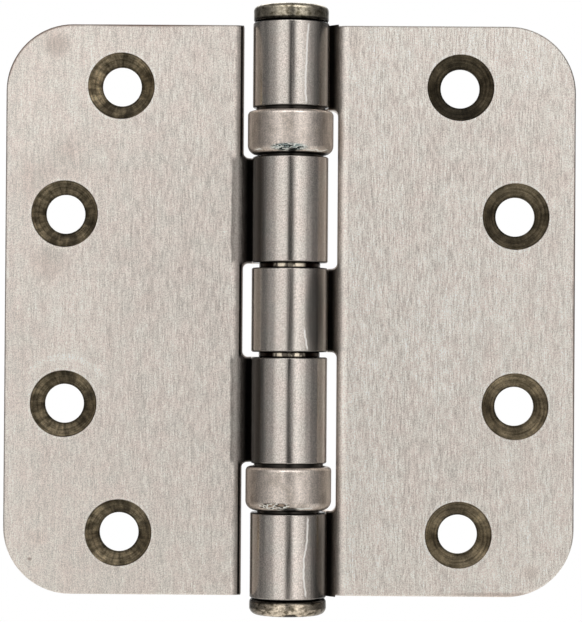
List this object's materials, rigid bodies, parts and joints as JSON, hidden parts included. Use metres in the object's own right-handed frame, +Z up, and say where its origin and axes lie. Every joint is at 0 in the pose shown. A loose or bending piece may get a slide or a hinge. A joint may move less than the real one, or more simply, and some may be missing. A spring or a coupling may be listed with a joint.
{
  "type": "ball bearing hinge",
  "caption": "Butt hinge with round-cornered leaves, countersunk screw holes, interleaved curled knuckles on a button-headed pin and shelled ball bearings between them.",
  "frame": {"origin": "on the pin's axis, half way between the top of the pin's head and the bottom of the plug, which is half way up the leaves", "axes": "+Z up the pin towards its head, +X across the frame leaf (the one with three knuckles), -Y to the side that the screws go in from; at rest the hinge is open with both leaves in one plane"},
  "size_m": [0.102, 0.0152, 0.109],
  "materials": {
    "frame_leaf_steel": "brushed",
    "door_leaf_steel": "brushed",
    "pin_steel": "satin",
    "plug_steel": "satin",
    "bearing_shell_steel": "satin",
    "race_steel": "ground",
    "ball_steel": "polished",
    "cage_brass": "satin"
  },
  "bodies": {
    "frame": {"frame_leaf": "frame_leaf_steel", "hinge_pin": "pin_steel", "bottom_plug": "plug_steel", "upper_bearing_shell": "bearing_shell_steel", "upper_bearing_upper_race": "race_steel", "lower_bearing_lower_race": "race_steel"},
    "door": {"door_leaf": "door_leaf_steel", "upper_bearing_lower_race": "race_steel", "lower_bearing_shell": "bearing_shell_steel", "lower_bearing_upper_race": "race_steel"},
    "upper_ball_ring": {"upper_bearing_cage": "cage_brass", "upper_bearing_ball_01": "ball_steel", "upper_bearing_ball_02": "ball_steel", "upper_bearing_ball_03": "ball_steel", "upper_bearing_ball_04": "ball_steel", "upper_bearing_ball_05": "ball_steel", "upper_bearing_ball_06": "ball_steel", "upper_bearing_ball_07": "ball_steel", "upper_bearing_ball_08": "ball_steel", "upper_bearing_ball_09": "ball_steel", "upper_bearing_ball_10": "ball_steel"},
    "lower_ball_ring": {"lower_bearing_cage": "cage_brass", "lower_bearing_ball_01": "ball_steel", "lower_bearing_ball_02": "ball_steel", "lower_bearing_ball_03": "ball_steel", "lower_bearing_ball_04": "ball_steel", "lower_bearing_ball_05": "ball_steel", "lower_bearing_ball_06": "ball_steel", "lower_bearing_ball_07": "ball_steel", "lower_bearing_ball_08": "ball_steel", "lower_bearing_ball_09": "ball_steel", "lower_bearing_ball_10": "ball_steel"}
  },
  "joints": [
    {"name": "leaf_swing", "type": "hinge", "parent": "frame", "child": "door", "pos_m": [0, 0, 0], "axis": [0, 0, 1], "range_deg": [-105, 180]},
    {"name": "upper_balls_roll", "type": "hinge", "parent": "frame", "child": "upper_ball_ring", "pos_m": [0, 0, 0], "axis": [0, 0, 1], "range_deg": [-52.5, 90]},
    {"name": "lower_balls_roll", "type": "hinge", "parent": "frame", "child": "lower_ball_ring", "pos_m": [0, 0, 0], "axis": [0, 0, 1], "range_deg": [-52.5, 90]}
  ],
  "couplings": [
    {"joint": "upper_balls_roll", "follows": "leaf_swing", "ratio": 0.5},
    {"joint": "lower_balls_roll", "follows": "leaf_swing", "ratio": 0.5}
  ]
}
